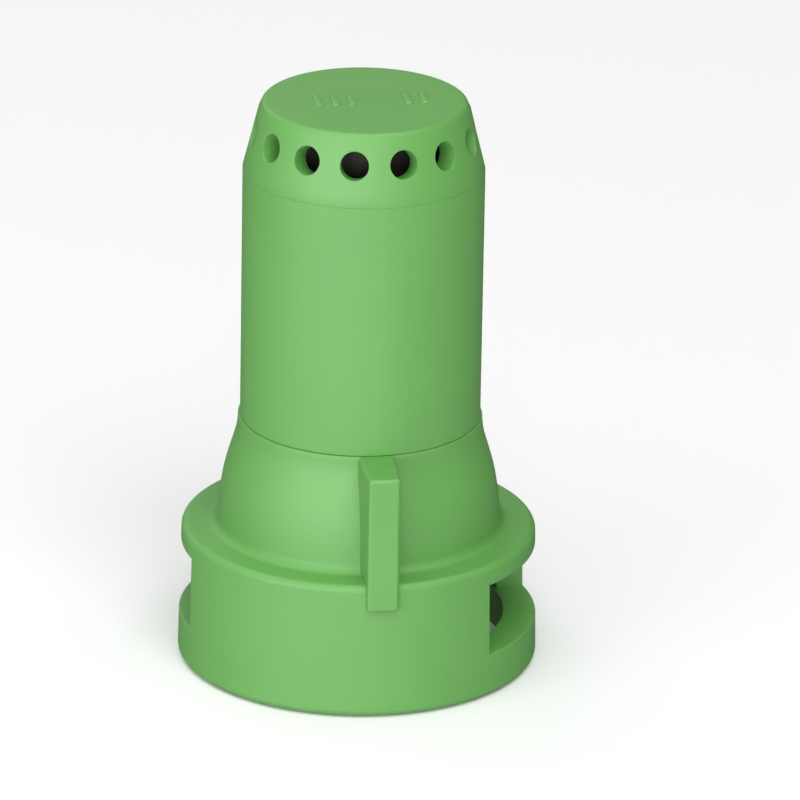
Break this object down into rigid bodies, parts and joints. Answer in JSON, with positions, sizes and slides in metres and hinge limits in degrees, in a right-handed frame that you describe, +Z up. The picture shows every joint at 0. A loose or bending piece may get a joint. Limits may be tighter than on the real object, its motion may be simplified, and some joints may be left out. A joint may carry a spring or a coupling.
{
  "type": "bayonet cap rinse nozzle",
  "caption": "Closed plastic tower with a ring of spray jets, held in a swivelling quick-turn bayonet cap with grip wings, with a strainer and check valve inside.",
  "frame": {"origin": "centre of the cap's bottom rim, on the surface that it stands on", "axes": "+Z up along the tower's axis towards the closed jet head; -Y and +Y through the two grip wings; +X through one of the two windows"},
  "size_m": [0.026, 0.0266, 0.0422],
  "materials": {
    "cap_plastic": "satin injection-moulded polypropylene",
    "tower_plastic": "satin injection-moulded polypropylene",
    "core_plastic": "matte black acetal",
    "strainer_plastic": "natural polypropylene",
    "cage_plastic": "grey acetal",
    "seal_rubber": "matte EPDM",
    "screen_steel": "woven stainless mesh",
    "ball_steel": "polished stainless",
    "spring_steel": "drawn stainless wire"
  },
  "bodies": {
    "cap": {"quick_cap": "cap_plastic"},
    "nozzle": {"nozzle_tube": "tower_plastic", "retaining_ring": "cap_plastic", "jet_head": "tower_plastic", "head_o_ring": "seal_rubber", "flow_core": "core_plastic", "seat_gasket": "seal_rubber", "strainer_frame": "strainer_plastic", "strainer_screen": "screen_steel", "valve_cage": "cage_plastic", "seat_o_ring": "seal_rubber", "valve_spring": "spring_steel"},
    "ball": {"check_ball": "ball_steel"}
  },
  "joints": [
    {"name": "cap_swivel", "type": "hinge", "parent": "cap", "child": "nozzle", "pos_m": [0, 0, 0], "axis": [0, 0, 1], "continuous": true},
    {"name": "ball_lift", "type": "slide", "parent": "nozzle", "child": "ball", "axis": [0, 0, 1], "range_m": [0, 0.0018], "stiffness_N_per_m": 60, "springref_m": -0.002, "deforming": ["valve_spring"]}
  ]
}
